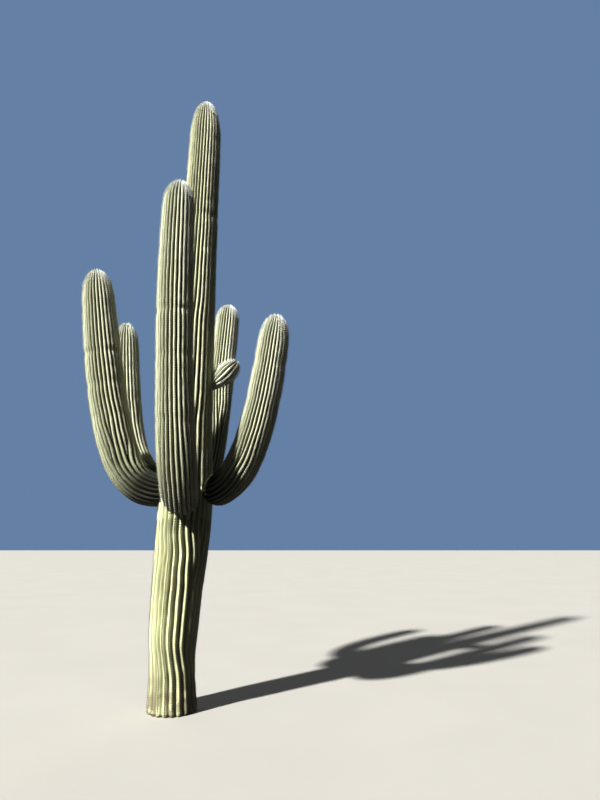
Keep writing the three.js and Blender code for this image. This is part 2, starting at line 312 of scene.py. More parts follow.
class Stem:
    """One stem of the plant: its centreline, its taper and the folds of its ribs."""

    def __init__(self, sizes, line, side, level, seed):
        self.sizes = sizes
        self.name = sizes["name"]
        self.ribs = sizes["ribs"]
        self.level = level
        self.side = np.array(side, float)
        self.seed = seed
        self.line = line
        steps = np.linalg.norm(np.diff(self.line, axis=0), axis=1)
        self.at = np.concatenate([[0], np.cumsum(steps)])
        self.length = self.at[-1]
        self.end = self.length - sizes["tip_sink"]
        self.row_start = sizes["row_start"]
        self.slopes = unit(np.gradient(self.line, axis=0))

    def frames(self, distance):
        """Centres, tangents, sides and outer normals of the sections at these distances."""
        def read(values):
            return np.stack([np.interp(distance, self.at, values[:, k]) for k in range(3)], -1)
        centre = read(self.line)
        tangent = unit(read(self.slopes))
        if self.level:
            tangent = np.broadcast_to([0.0, 0.0, 1.0], centre.shape)
        side = unit(self.side - tangent * (tangent @ self.side)[:, None])
        return centre, tangent, side, np.cross(side, tangent)

    def radius(self, distance):
        """Radius over the crests: the taper, the narrow neck at the trunk and the rounded tip."""
        distance = np.asarray(distance, float)
        s = self.sizes
        taper = through_keys(s["radii"], distance / self.length)
        neck = s["neck"] + (1 - s["neck"]) * smoothstep(distance, 0, s["neck_length"])
        to_tip = np.clip((self.end - distance) / s["tip_length"], 0, 1)
        return taper * neck * np.sqrt(np.maximum(0, 1 - (1 - to_tip) ** s["tip_power"]))

    def ribs_at(self, distance, wobble):
        """Rows of each rib's share of a full width, and of the turns at which the ribs start."""
        widths = np.ones((len(distance), self.ribs))
        for rib, start in self.sizes["young_ribs"].items():
            grown = smoothstep(distance, start, start + YOUNG_RIB_GROWTH)
            widths[:, rib] = YOUNG_RIB_WIDTH + (1 - YOUNG_RIB_WIDTH) * grown
        total = widths.sum(1, keepdims=True)
        starts = np.concatenate([np.zeros((len(distance), 1)), np.cumsum(widths, 1)], 1) / total
        starts += (self.sizes["rib_phase"] - 0.5) / self.ribs
        rng = np.random.default_rng(self.seed)
        sway = waves(distance, self.ribs, SWAY_WAVES, rng) * wobble / total
        sway *= np.minimum(widths, np.roll(widths, 1, axis=1))
        starts[:, :-1] += sway
        starts[:, -1] += sway[:, 0]
        return widths, starts

    def surface(self, distance, rib, share, growth):
        """Points of the skin: rib and share (0 to 1 across the rib) are rows as long as distance's."""
        widths, starts = self.ribs_at(distance, growth.rib_wobble)
        rows = np.arange(len(distance))[:, None]
        start, end = starts[rows, rib], starts[rows, rib + 1]
        turn = start + share * (end - start)
        width = widths[rows, rib]
        height = 1 - np.abs(2 * share - 1) ** RIB_ROUNDNESS
        radius = self.radius(distance)
        total = widths.sum(1)
        depth = through_keys(self.sizes["depths"], distance / self.length) * 2 * np.pi * radius / total
        rng = np.random.default_rng(self.seed + 1)
        bands = waves(distance, 1, BAND_WAVES, rng)[:, 0] * growth.band_relief
        for below, deep, half in self.sizes["waists"]:
            bands -= deep * np.exp(-((self.length - below - distance) / half) ** 2)
        swell = waves(distance, self.ribs, SWELL_WAVES, rng)[rows, rib] * growth.rib_relief
        inward = depth[:, None] * (1 - width * height) - bands[:, None] - swell * height
        reach = np.maximum(radius[:, None] - np.maximum(inward, 0), 0)
        angle = 2 * np.pi * turn
        centre, _, side, normal = self.frames(distance)
        out = np.cos(angle)[..., None] * normal[:, None] + np.sin(angle)[..., None] * side[:, None]
        points = centre[:, None] + reach[..., None] * out
        gap = np.abs(share - 0.5) * (end - start) * 2 * np.pi * radius[:, None]
        return points, out, height * width, gap

    def row_counts(self, spacing):
        """How many areole rows lie below each point of the centreline. They crowd towards the tip."""
        crowding = TIP_SPACING + (1 - TIP_SPACING) * smoothstep(self.end - self.at, 0, TIP_ZONE)
        pitch = spacing * crowding
        return np.concatenate([[0], np.cumsum(np.diff(self.at) / pitch[1:])])


def trunk_stem():
    """The trunk, level in its sections so that its foot is flat."""
    height = np.linspace(0, TRUNK_HEIGHT, CENTRELINE_SAMPLES)
    line = np.stack([through_keys(TRUNK_SWAY, height), np.zeros(len(height)), height], -1)
    return Stem(TRUNK, line, (0, 1, 0), True, SEED)


def bent_line(points):
    """The smooth curve from the first of four points to the last, drawn out by the two between."""
    t = np.linspace(0, 1, CENTRELINE_SAMPLES)[:, None]
    a, b, c, d = points
    return (1 - t) ** 3 * a + 3 * (1 - t) ** 2 * t * b + 3 * (1 - t) * t * t * c + t ** 3 * d


def arm_stem(sizes, seed):
    """An arm, out from the trunk at its azimuth and then up to its tip."""
    azimuth = math.radians(sizes["azimuth"])
    lean = math.radians(sizes["lean"])
    out = np.array([math.cos(azimuth), math.sin(azimuth), 0])
    side = np.array([-math.sin(azimuth), math.cos(azimuth), 0])

    def place(reach, height, shift):
        return np.array([ARM_ORIGIN_X, 0, height]) + out * reach + side * shift

    line = bent_line([
        place(sizes["root_reach"], sizes["root_height"], sizes["root_shift"]),
        place(sizes["root_reach"] + sizes["swing"], sizes["root_height"] - sizes["droop"], 0),
        place(
            sizes["tip_reach"] - sizes["column"] * math.sin(lean),
            sizes["tip_height"] - sizes["column"] * math.cos(lean),
            sizes["mid_shift"],
        ),
        place(sizes["tip_reach"], sizes["tip_height"], sizes["tip_shift"]),
    ])
    return Stem(sizes, line, side, False, seed)


STEMS = [trunk_stem()] + [arm_stem(arm, SEED + 10 * (i + 1)) for i, arm in enumerate(ARMS)]


def mesh_piece(name, points, triangles, smooth):
    """A mesh object from arrays of points and triangles."""
    mesh = bpy.data.meshes.new(name)
    mesh.vertices.add(len(points))
    mesh.vertices.foreach_set("co", points.astype(np.float32).ravel())
    mesh.loops.add(triangles.size)
    mesh.loops.foreach_set("vertex_index", triangles.astype(np.int32).ravel())
    mesh.polygons.add(len(triangles))
    mesh.polygons.foreach_set("loop_start", np.arange(0, triangles.size, 3, dtype=np.int32))
    mesh.polygons.foreach_set("use_smooth", np.full(len(triangles), smooth))
    mesh.update(calc_edges=True)
    piece = bpy.data.objects.new(name, mesh)
    bpy.context.scene.collection.objects.link(piece)
    return piece


def add_values(piece, name, values):
    """A value for each point of a piece, for its material to read."""
    layer = piece.data.attributes.new(name, "FLOAT", "POINT")
    layer.data.foreach_set("value", values.astype(np.float32).ravel())


def settle(piece, finish, nodes=()):
    """Gives a piece its finish and its place in the frame."""
    piece.data.materials.append(bpy.data.materials[f"{finish}_finish"])
    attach(piece, "root")
    if nodes:
        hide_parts(*nodes)


def ring_distances(stem, step):
    """Evenly spaced rings up to the tip, and closer ones round it."""
    tip = stem.sizes["tip_length"]
    straight = stem.end - tip
    even = np.linspace(0, straight, max(2, round(straight / step) + 1))
    count = max(LEAST_TIP_RINGS, round(TIP_RINGS * tip / step))
    to_tip = 1 - np.sin(np.arange(1, count) / count * np.pi / 2)
    return np.concatenate([even, stem.end - to_tip * tip])


def tube_triangles(rings, columns):
    """Triangles of a tube of rings, closed by fans round its foot and its tip, the two points after them."""
    ring = np.arange(rings - 1)[:, None] * columns
    around = np.arange(columns)
    after = (around + 1) % columns
    a = (ring + around).ravel()
    b = (ring + after).ravel()
    top = (rings - 1) * columns
    foot, tip = rings * columns, rings * columns + 1
    return np.concatenate([
        np.stack([a, b, b + columns], -1),
        np.stack([a, b + columns, a + columns], -1),
        np.stack([np.full(columns, foot), after, around], -1),
        np.stack([np.full(columns, tip), top + around, top + after], -1),
    ])


def tube_map(rings, columns, up, triangles):
    """The tube's flat map, corner by corner: once round from left to right, and up by each point's value."""
    around = np.arange(columns)
    step = 1 / columns
    start = np.tile(around / columns, rings - 1)[:, None]
    fans = np.repeat(np.tile(around, 2) * step, 3).reshape(-1, 3)
    across = np.concatenate([start + [0, step, step], start + [0, step, 0], fans])
    return np.stack([across, up[triangles]], -1)


def skin_piece(stem, growth, slot):
    """The fluted skin of one stem, closed at its foot and its tip."""
    distance = ring_distances(stem, growth.ring_step)
    share = np.tile(np.arange(growth.rib_points) / growth.rib_points, stem.ribs)
    rib = np.repeat(np.arange(stem.ribs), growth.rib_points)
    points, _, height, gap = stem.surface(distance, rib[None, :], share[None, :], growth)
    rings, columns = points.shape[:2]
    middles = stem.frames(np.array([0.0, stem.end]))[0]
    triangles = tube_triangles(rings, columns)
    points = np.concatenate([points.reshape(-1, 3), middles])
    piece = mesh_piece(f"{stem.name}_skin", points, triangles, True)

    row = np.interp(distance, stem.at, stem.row_counts(growth.areole_spacing))
    rows = row[:, None] + rib_phases(stem)[rib][None, :]
    from_foot = np.repeat(distance, columns)
    to_tip = stem.end - from_foot
    for name, values, ends in (
        ("rib_height", height, [0, 1]), ("crest_gap", gap, [0, 0]), ("areole_row", rows, [0, rows[-1, 0]]),
        ("to_tip", to_tip, [stem.length, 0]), ("from_foot", from_foot, [0, stem.end]),
    ):
        add_values(piece, name, np.append(values.ravel(), ends))

    up = np.append(from_foot / stem.length, [0, 1])
    layer = piece.data.uv_layers.new(name="OFBake")
    flat = tube_map(rings, columns, up, triangles)
    layer.data.foreach_set("uv", flat.astype(np.float32).ravel())
    settle(piece, slot, stem.sizes["nodes"])


def rib_phases(stem):
    """How far each rib's areoles are shifted along it, in rows."""
    return np.random.default_rng(stem.seed + 2).uniform(0, 1, stem.ribs)


def inside_other(points, stem):
    """Which points lie in another stem, or close to it."""
    hidden = np.zeros(len(points), bool)
    for other in STEMS:
        if other is stem:
            continue
        distance = np.linspace(0, other.length, OVERLAP_SAMPLES)
        centre = other.frames(distance)[0]
        radius = other.radius(distance)
        for start in range(0, len(points), OVERLAP_BATCH):
            part = slice(start, start + OVERLAP_BATCH)
            away = np.linalg.norm(points[part][:, None] - centre[None], axis=-1) - radius[None]
            hidden[part] |= (away < OVERLAP_MARGIN).any(1)
    return hidden


def areole_places(stem, growth):
    """Where a stem's areoles sit, which way they face and point, the stem's way, and how far the tip is."""
    count = stem.row_counts(growth.areole_spacing)
    phases = rib_phases(stem)
    young = stem.sizes["young_ribs"]
    places = []
    for rib in range(stem.ribs):
        whole = np.arange(math.ceil(phases[rib]) + 1, int(count[-1] + phases[rib]) + 1) - phases[rib]
        distance = np.interp(whole, count, stem.at)
        begin = young[rib] + YOUNG_RIB_BARE * YOUNG_RIB_GROWTH if rib in young else stem.row_start
        distance = distance[(distance > begin) & (distance < stem.end - BARE_TIP)]
        index = np.full((len(distance), 1), rib)
        half = np.full((len(distance), 1), 0.5)
        here, out, _, _ = stem.surface(distance, index, half, growth)
        ahead = stem.surface(distance + STEP_AHEAD, index, half, growth)[0]
        along = unit(ahead[:, 0] - here[:, 0])
        face = out[:, 0]
        face = unit(face - along * (face * along).sum(1)[:, None])
        radius = stem.radius(distance)
        # Where the ribs crowd into the tip, only every second and then every fourth rib keeps its areoles
        keep = (radius > CROWDED_RADIUS) | ((rib % 2 == 0) & (radius > TIGHT_RADIUS)) | (rib % 4 == 0)
        axis = stem.frames(distance)[1]
        to_tip = stem.end - distance
        places.append((here[keep, 0], face[keep], along[keep], axis[keep], to_tip[keep]))
    places = [np.concatenate(part) for part in zip(*places)]
    shown = ~inside_other(places[0], stem)
    return [part[shown] for part in places]


def zone_of(stem, point, to_tip):
    """Which zone of growth each areole is in: 0 at the tip, 1 young, 2 grown, 3 old."""
    zone = np.full(len(point), 2)
    zone[to_tip < YOUNG_ZONE] = 1
    zone[to_tip < TIP_ZONE] = 0
    if stem.name == "trunk":
        zone[point[:, 2] < OLD_HEIGHT] = 3
    return zone


def areole_zones(growth):
    """Each stem with each of its zones and the places of the areoles there."""
    for stem in STEMS:
        *places, to_tip = areole_places(stem, growth)
        zone = zone_of(stem, places[0], to_tip)
        for index, name in enumerate(ZONES):
            here = zone == index
            if here.any():
                yield stem, name, [part[here] for part in places]


def pad_arrays(point, face, along, size):
    """A low oval cushion for each areole, sunk in the crest."""
    across = np.cross(face, along)
    angle = np.arange(PAD_SIDES) / PAD_SIDES * 2 * np.pi
    ring = (
        point[:, None] - face[:, None] * AREOLE_SINK
        + along[:, None] * (np.cos(angle) * size * PAD_LENGTH)[:, None]
        + across[:, None] * (np.sin(angle) * size)[:, None]
    )
    peak = point[:, None] + face[:, None] * size * PAD_HEIGHT
    points = np.concatenate([ring, peak], 1)
    faces = np.array([((k + 1) % PAD_SIDES, k, PAD_SIDES) for k in range(PAD_SIDES)])
    return join_copies(points, faces)


def join_copies(points, faces):
    """Joins copies of one small shape: points is copies by corners by 3."""
    copies, corners = points.shape[:2]
    offset = np.arange(copies)[:, None, None] * corners
    return points.reshape(-1, 3), (faces[None] + offset).reshape(-1, 3)


def spine_arrays(point, face, along, axis, habit, kind, settings, rng):
    """Slim three-sided spines that leave each areole: a fan of radial ones, or a few central ones."""
    count = habit[kind]
    size = (len(point), count)
    across = np.cross(face, along)
    around = (np.arange(count) + rng.uniform(-SPINE_STRAY, SPINE_STRAY, size)) / count * 2 * np.pi
    around += rng.uniform(0, 2 * np.pi, (len(point), 1))
    lift = rng.uniform(*(RADIAL_LIFT if kind == "radial" else habit["lift"]), size)
    length = habit[f"{kind}_length"] * rng.uniform(*LENGTH_SPREAD[kind], size)
    length = length * settings.length
    flat = np.cos(around)[..., None] * along[:, None] + np.sin(around)[..., None] * across[:, None]
    heading = np.cos(lift)[..., None] * flat + np.sin(lift)[..., None] * face[:, None]
    heading = unit(heading + habit["up"] * axis[:, None])
    root = point[:, None] + flat * SPINE_FOOT
    root = root.reshape(-1, 3)
    heading = heading.reshape(-1, 3)
    length = length.reshape(-1, 1)
    # The helper is a little askew, so that no spine runs along it
    helper = np.repeat(across, count, axis=0) + 0.01
    first = unit(np.cross(heading, helper))
    second = np.cross(heading, first)
    thick = settings.thickness * habit["thick"] / 2
    corners = []
    for k in range(SPINE_SIDES):
        turn = 2 * np.pi * k / SPINE_SIDES
        corners.append(root + (math.cos(turn) * first + math.sin(turn) * second) * thick)
    corners.append(root + heading * length)
    faces = np.array([(k, (k + 1) % SPINE_SIDES, SPINE_SIDES) for k in range(SPINE_SIDES)])
    return join_copies(np.stack(corners, 1), faces)


# Shader helpers

class Nodes:
    """Short calls to build a node tree."""

    def __init__(self, tree):
        self.tree = tree

    def feed(self, node, inputs):
        """Sets a node's inputs, each to a value or from another node's socket."""
        for key, value in inputs.items():
            if isinstance(value, bpy.types.NodeSocket):
                self.tree.links.new(value, node.inputs[key])
            else:
                node.inputs[key].default_value = value
        return node

    def add(self, kind, inputs=None, **settings):
        """A new node with its settings and inputs."""
        node = self.tree.nodes.new(kind)
        for name, value in settings.items():
            setattr(node, name, value)
        return self.feed(node, inputs or {})

    def group(self, name, inputs):
        """The outputs of one of the shared groups, placed with its own values."""
        return self.add("ShaderNodeGroup", inputs, node_tree=bpy.data.node_groups[name]).outputs

    def math(self, operation, *values):
        """The result of a Math node."""
        return self.add("ShaderNodeMath", dict(enumerate(values)), operation=operation).outputs[0]

    def plus(self, first, second):
        """The sum of two values."""
        return self.math("ADD", first, second)

    def times(self, first, second):
        """The product of two values."""
        return self.math("MULTIPLY", first, second)

    def away(self, value, middle):
        """How far a value is from a middle, either way."""
        return self.math("ABSOLUTE", self.math("SUBTRACT", value, middle))

    def rise(self, value, low, high, to_low=0.0, to_high=1.0):
        """A smooth rise of value between low and high."""
        node = self.add(
            "ShaderNodeMapRange",
            {"Value": value, "From Min": low, "From Max": high, "To Min": to_low, "To Max": to_high},
            interpolation_type="SMOOTHSTEP",
        )
        return node.outputs["Result"]

    def mix(self, share, first, second, blend="MIX"):
        """Two colours mixed by share."""
        inputs = {0: share, 6: first, 7: second}
        return self.add("ShaderNodeMix", inputs, data_type="RGBA", blend_type=blend).outputs[2]

    def shaded(self, colour, value):
        """A colour times a value."""
        grey = self.add("ShaderNodeCombineColor", {0: value, 1: value, 2: value}).outputs[0]
        return self.mix(1.0, colour, grey, "MULTIPLY")

    def noise(self, vector, scale, detail=2.0, roughness=0.5):
        """A noise value from 0 to 1."""
        node = self.add(
            "ShaderNodeTexNoise",
            {"Vector": vector, "Scale": scale, "Detail": detail, "Roughness": roughness},
        )
        return node.outputs["Fac"]

    def value_of(self, name):
        """A piece's own value for each point."""
        return self.add("ShaderNodeAttribute", attribute_name=name).outputs["Fac"]


def new_group(name, inputs, outputs):
    """An empty shader group with named sockets: its node helper, its inputs and its output node."""
    tree = bpy.data.node_groups.new(name, "ShaderNodeTree")
    for label, kind, value in inputs:
        socket = tree.interface.new_socket(label, in_out="INPUT", socket_type=kind)
        if value is not None:
            socket.default_value = value
    for label, kind in outputs:
        tree.interface.new_socket(label, in_out="OUTPUT", socket_type=kind)
    n = Nodes(tree)
    return n, n.add("NodeGroupInput").outputs, n.add("NodeGroupOutput")


FLOAT, COLOUR, VECTOR = "NodeSocketFloat", "NodeSocketColor", "NodeSocketVector"


def rib_tint_group():
    """Colour of the skin from the valleys, darkened as painted shade, to the crests, mottled, paler at the
    tip and older towards the foot.
    """
    n, g, out = new_group(
        "rib_tint",
        [
            ("Position", VECTOR, None), ("Rib Height", FLOAT, 0.5), ("To Tip", FLOAT, 1.0),
            ("Age", FLOAT, 0.0), ("Crest", COLOUR, None), ("Flank", COLOUR, None),
            ("Valley", COLOUR, None), ("Aged", COLOUR, None), ("Aged Valley", COLOUR, None),
            ("Tip", COLOUR, None),
        ],
        [("Colour", COLOUR), ("Tone", FLOAT)],
    )
    place = g["Position"]
    broad = n.noise(place, BROAD, 3.0)
    drawn_out = n.add("ShaderNodeVectorMath", {0: place, 1: STREAK_STRETCH}, operation="MULTIPLY")
    streak = n.noise(drawn_out.outputs[0], STREAK, 3.0)
    mottle = n.noise(place, MOTTLE, 3.0, 0.6)
    height = n.plus(g["Rib Height"], n.times(n.math("SUBTRACT", streak, 0.5), 0.35))
    # The valley colour is painted shade in the grooves between the ribs
    lower = n.mix(n.rise(height, *FLANK_RISE), g["Valley"], g["Flank"])
    skin = n.mix(n.rise(height, *CREST_RISE), lower, g["Crest"])
    aged = n.times(g["Age"], n.rise(broad, 0.25, 0.75, 0.55, 1.0))
    skin = n.mix(aged, skin, n.mix(n.rise(height, *AGED_RISE), g["Aged Valley"], g["Aged"]))
    pale = n.times(n.rise(g["To Tip"], WOOLLY_TIP, 0.0), n.rise(streak, 0.2, 0.7, 0.6, 1.0))
    skin = n.mix(pale, skin, g["Tip"])
    tone = n.plus(n.rise(mottle, 0.25, 0.75, 0.86, 1.10), n.rise(broad, 0.3, 0.7, -0.06, 0.06))
    n.feed(out, {"Colour": n.shaded(skin, tone), "Tone": tone})


def areole_row_group():
    """The felt spots along a crest: their mask, and the low bump that each stands on."""
    n, g, out = new_group(
        "areole_row",
        [("Row", FLOAT, 0.0), ("Gap", FLOAT, 0.0), ("Spacing", FLOAT, 0.022), ("Size", FLOAT, 0.005)],
        [("Spot", FLOAT), ("Mound", FLOAT)],
    )
    part = n.math("FRACT", n.plus(g["Row"], 0.5))
    along = n.times(n.away(part, 0.5), g["Spacing"])
    squares = n.plus(n.math("POWER", n.times(along, 0.8), 2.0), n.math("POWER", g["Gap"], 2.0))
    away = n.math("SQRT", squares)
    edge = n.times(g["Size"], 1.35)
    reach = n.times(g["Size"], 2.3)
    n.feed(out, {"Spot": n.rise(away, edge, n.times(g["Size"], 0.8)), "Mound": n.rise(away, reach, 0.0)})


def skin_relief_group():
    """Height of the skin's fine relief: pores, faint pleats across the ribs and soft dents."""
    n, g, out = new_group(
        "skin_relief",
        [("Position", VECTOR, None), ("Row", FLOAT, 0.0), ("Rib Height", FLOAT, 0.5)],
        [("Height", FLOAT)],
    )
    pores = n.times(n.noise(g["Position"], PORES, 2.0), 0.25)
    dents = n.times(n.noise(g["Position"], DENTS, 2.0), 0.9)
    wander = n.times(n.noise(g["Position"], WANDER, 1.0), 2.2)
    pleat = n.math("SINE", n.times(n.plus(g["Row"], wander), 2 * math.pi))
    pleat = n.times(n.times(pleat, n.rise(g["Rib Height"], 0.2, 0.9)), 0.16)
    n.feed(out, {"Height": n.plus(n.plus(pores, dents), pleat)})


def scuff_group():
    """Small pale scars and dry specks, thinly spread."""
    n, g, out = new_group(
        "scuffs",
        [("Position", VECTOR, None), ("Amount", FLOAT, 0.2), ("Rib Height", FLOAT, 0.5)],
        [("Mask", FLOAT)],
    )
    place = g["Position"]
    cells = n.add("ShaderNodeTexVoronoi", {"Vector": place, "Scale": SPECKS}, feature="F1")
    ragged = n.plus(cells.outputs["Distance"], n.times(n.noise(place, RAGGED), 0.3))
    speck = n.rise(ragged, 0.32, 0.22)
    patch = n.rise(n.noise(place, SCARRED, 2.0), n.math("SUBTRACT", 0.78, g["Amount"]), 0.80)
    n.feed(out, {"Mask": n.times(n.times(speck, patch), n.rise(g["Rib Height"], 0.2, 0.7))})


def old_trunk_group():
    """Cork in patches round the trunk's foot, and the pleats that the front arm presses in under it, for
    their relief and for painted shade in their creases.
    """
    n, g, out = new_group(
        "old_trunk", [("Position", VECTOR, None)],
        [("Cork", FLOAT), ("Pleats", FLOAT), ("Roughness", FLOAT)],
    )
    place = g["Position"]
    x, y, z = n.add("ShaderNodeSeparateXYZ", {"Vector": place}).outputs
    patches = n.rise(n.noise(place, CORK_PATCHES, 4.0, 0.6), 0.35, 0.60)
    cork = n.times(n.rise(z, *CORK_HEIGHTS), patches)
    grain = n.times(cork, n.noise(place, CORK_GRAIN, 3.0))
    across = n.plus(x, n.times(n.noise(place, PLEAT_EDGE), 0.03))
    inside = n.times(
        n.rise(n.away(across, PLEATS_X), *PLEATS_HALF_WIDTH),
        n.rise(n.away(z, PLEATS_Z), *PLEATS_HALF_HEIGHT),
    )
    inside = n.times(inside, n.rise(y, *PLEATS_FRONT))
    wave = n.math("SINE", n.times(z, 2 * math.pi / PLEAT_SPACING))
    pleats = n.times(inside, n.rise(wave, -0.1, 0.6))
    rough = n.math("SUBTRACT", n.times(grain, 2.0), pleats)
    n.feed(out, {"Cork": n.times(cork, 0.8), "Pleats": n.times(pleats, 0.85), "Roughness": rough})


def principled(name):
    """A new material, its node helper and its Principled shader. The solids own the slots' plain names."""
    material = bpy.data.materials.new(f"{name}_finish")
    material.use_nodes = True
    n = Nodes(material.node_tree)
    shader = material.node_tree.nodes["Principled BSDF"]
    return material, n, shader


def skin_material(name, colours, growth, crest, aged, scuffs):
    """Waxy ribbed skin, aged on the trunk's lower half or an arm's elbow, the elbow also darkened as painted
    shade, with painted shade in the valleys, in the trunk's pleats and at a long arm's joint.
    """
    _, n, shader = principled(name)
    place = n.add("ShaderNodeTexCoord").outputs["Object"]
    height = n.value_of("rib_height")
    row = n.value_of("areole_row")
    to_tip = n.value_of("to_tip")
    from_foot = n.value_of("from_foot")
    on_trunk = name == "trunk_skin"
    age = n.rise(from_foot, *(TRUNK_AGEING if on_trunk else ARM_AGE_AND_SHADE))
    # On an arm the aged colour is the elbow's, old skin darkened as painted shade, and its aged valleys take
    # the painted valley shade; the trunk's take its old flank colour
    tint = n.group("rib_tint", {
        "Position": place, "Rib Height": height, "To Tip": to_tip, "Age": age,
        "Crest": crest, "Flank": colours.flank, "Valley": colours.valley_shade,
        "Aged": aged, "Aged Valley": colours.old_flank if on_trunk else colours.valley_shade, "Tip": colours.tip,
    })
    areole = n.group("areole_row", {
        "Row": row, "Gap": n.value_of("crest_gap"), "Spacing": growth.areole_spacing,
        "Size": growth.areole_size,
    })
    relief = n.group("skin_relief", {"Position": place, "Row": row, "Rib Height": height})
    amount = n.plus(n.times(age, 0.12), scuffs)
    scuff = n.group("scuffs", {"Position": place, "Amount": amount, "Rib Height": height})
    skin = n.mix(scuff["Mask"], tint["Colour"], colours.scuff)
    bumps = n.plus(relief["Height"], n.times(areole["Mound"], 1.3))
    if on_trunk:
        old = n.group("old_trunk", {"Position": place})
        skin = n.mix(old["Cork"], skin, colours.cork)
        # Painted shade: the pleats' creases are darkened toward the painted valley shade
        skin = n.mix(n.times(old["Pleats"], PAINTED_PLEAT_SHADE), skin, colours.valley_shade)
        bumps = n.plus(bumps, old["Roughness"])
    felt = n.mix(age, colours.grown_felt, colours.old_felt)
    felt = n.mix(n.rise(to_tip, TIP_ZONE + 0.1, TIP_ZONE - 0.1), felt, colours.tip_felt)
    skin = n.mix(areole["Spot"], skin, felt)
    # Painted shade: a long arm's skin darkens towards its joint with the trunk, where shade falls
    if name == "arm_skin":
        skin = n.shaded(skin, n.rise(from_foot, *PAINTED_JOINT_SHADE_SPAN, PAINTED_JOINT_SHADE, 1.0))
    wax = n.rise(tint["Tone"], 0.8, 1.15, 0.62, 0.46)
    bump = n.add("ShaderNodeBump", {"Height": bumps, "Distance": 0.0022, "Strength": 0.8})
    n.feed(shader, {
        "Base Color": skin, "Roughness": n.plus(wax, n.times(areole["Spot"], 0.3)),
        "Normal": bump.outputs["Normal"],
    })


def plain_material(name, colour, roughness):
    """A dry, matt finish for the many small pieces."""
    _, n, shader = principled(name)
    n.feed(shader, {"Base Color": colour, "Roughness": roughness})


def floor_material(colour):
    """A pale matt studio floor with a faint unevenness."""
    material, n, shader = principled("studio_floor")
    place = n.add("ShaderNodeTexCoord").outputs["Object"]
    cloud = n.rise(n.noise(place, 0.7, 4.0), 0.3, 0.7, 0.97, 1.0)
    n.feed(shader, {"Base Color": n.shaded(colour, cloud), "Roughness": 0.9})
    return material


# Settings that a user would change

class GrowthSettings(bpy.types.PropertyGroup):
    """Sizes of the skin's folds and of the areoles."""
    ring_step: bpy.props.FloatProperty(
        name="Ring Step", description="Distance between two rings of points along a stem",
        default=0.030, min=0.01, max=0.1, unit="LENGTH")
    rib_points: bpy.props.IntProperty(
        name="Rib Points", description="Points across one rib", default=8, min=4, max=16)
    rib_wobble: bpy.props.FloatProperty(
        name="Rib Wobble", description="How far a rib sways sideways, as a share of its width",
        default=0.06, min=0, max=0.4, subtype="FACTOR")
    band_relief: bpy.props.FloatProperty(
        name="Band Relief", description="Depth of the slow waists that the seasons leave round a stem",
        default=0.0035, min=0, max=0.02, unit="LENGTH")
    rib_relief: bpy.props.FloatProperty(
        name="Rib Relief", description="How much one rib swells and shrinks along its crest",
        default=0.0022, min=0, max=0.02, unit="LENGTH")
    areole_spacing: bpy.props.FloatProperty(
        name="Areole Spacing", description="Distance between two areoles on a crest",
        default=0.022, min=0.01, max=0.1, unit="LENGTH")
    areole_size: bpy.props.FloatProperty(
        name="Areole Size", description="Radius of an areole's felt",
        default=0.0045, min=0.001, max=0.02, unit="LENGTH")


class SpineSettings(bpy.types.PropertyGroup):
    """Sizes of the spines."""
    length: bpy.props.FloatProperty(
        name="Length", description="Length of every spine over its usual length",
        default=1.0, min=0.1, max=3, subtype="FACTOR")
    thickness: bpy.props.FloatProperty(
        name="Thickness", description="Width of a spine at its base",
        default=0.0019, min=0.0005, max=0.01, unit="LENGTH")


def paint(name, description, red, green, blue):
    """A colour setting."""
    return bpy.props.FloatVectorProperty(
        name=name, description=description, subtype="COLOR", size=4, default=(red, green, blue, 1))


class ColourSettings(bpy.types.PropertyGroup):
    """Colours of the skin, the felt and the spines."""
    crest: paint("Crest", "Skin on the arms' crests", 0.65, 0.67, 0.515)
    trunk_crest: paint("Trunk Crest", "Skin on the trunk's crests", 0.66, 0.68, 0.48)
    bud_crest: paint("Bud Crest", "Skin on the young arm's crests", 0.60, 0.62, 0.50)
    flank: paint("Flank", "Skin on the ribs' sides", 0.225, 0.245, 0.14)
    # Near black: painted shade in the deep valleys between the ribs, not the skin's own colour
    valley_shade: paint("Valley", "Skin between the ribs", 0.020, 0.023, 0.015)
    aged: paint("Aged", "Old skin low on the trunk", 0.64, 0.65, 0.42)
    tip: paint("Tip", "Woolly skin round the tips", 0.60, 0.61, 0.53)
    old_flank: paint("Old Flank", "Old skin low between the trunk's ribs", 0.38, 0.39, 0.22)
    # Partly old skin and partly painted shade: darker than the aged skin alone, for the shade under the
    # elbows
    elbow: paint("Elbow", "Old skin on the arms' elbows", 0.27, 0.285, 0.195)
    cork: paint("Cork", "Corky skin round the foot", 0.22, 0.19, 0.135)
    tip_felt: paint("Tip Felt", "Felt of the areoles at the tips", 0.42, 0.41, 0.33)
    young_felt: paint("Young Felt", "Felt on the young skin", 0.42, 0.40, 0.31)
    grown_felt: paint("Grown Felt", "Felt on the grown skin", 0.34, 0.32, 0.24)
    old_felt: paint("Old Felt", "Felt low on the trunk", 0.055, 0.045, 0.028)
    scuff: paint("Scuff", "Pale scars", 0.52, 0.50, 0.39)
    tip_spine: paint("Tip Spines", "Spines at the tips", 0.90, 0.91, 0.90)
    young_spine: paint("Young Spines", "Spines on the young skin", 0.88, 0.88, 0.83)
    grown_spine: paint("Grown Spines", "Spines on the grown skin", 0.74, 0.73, 0.65)
    old_spine: paint("Old Spines", "Spines low on the trunk", 0.22, 0.19, 0.14)


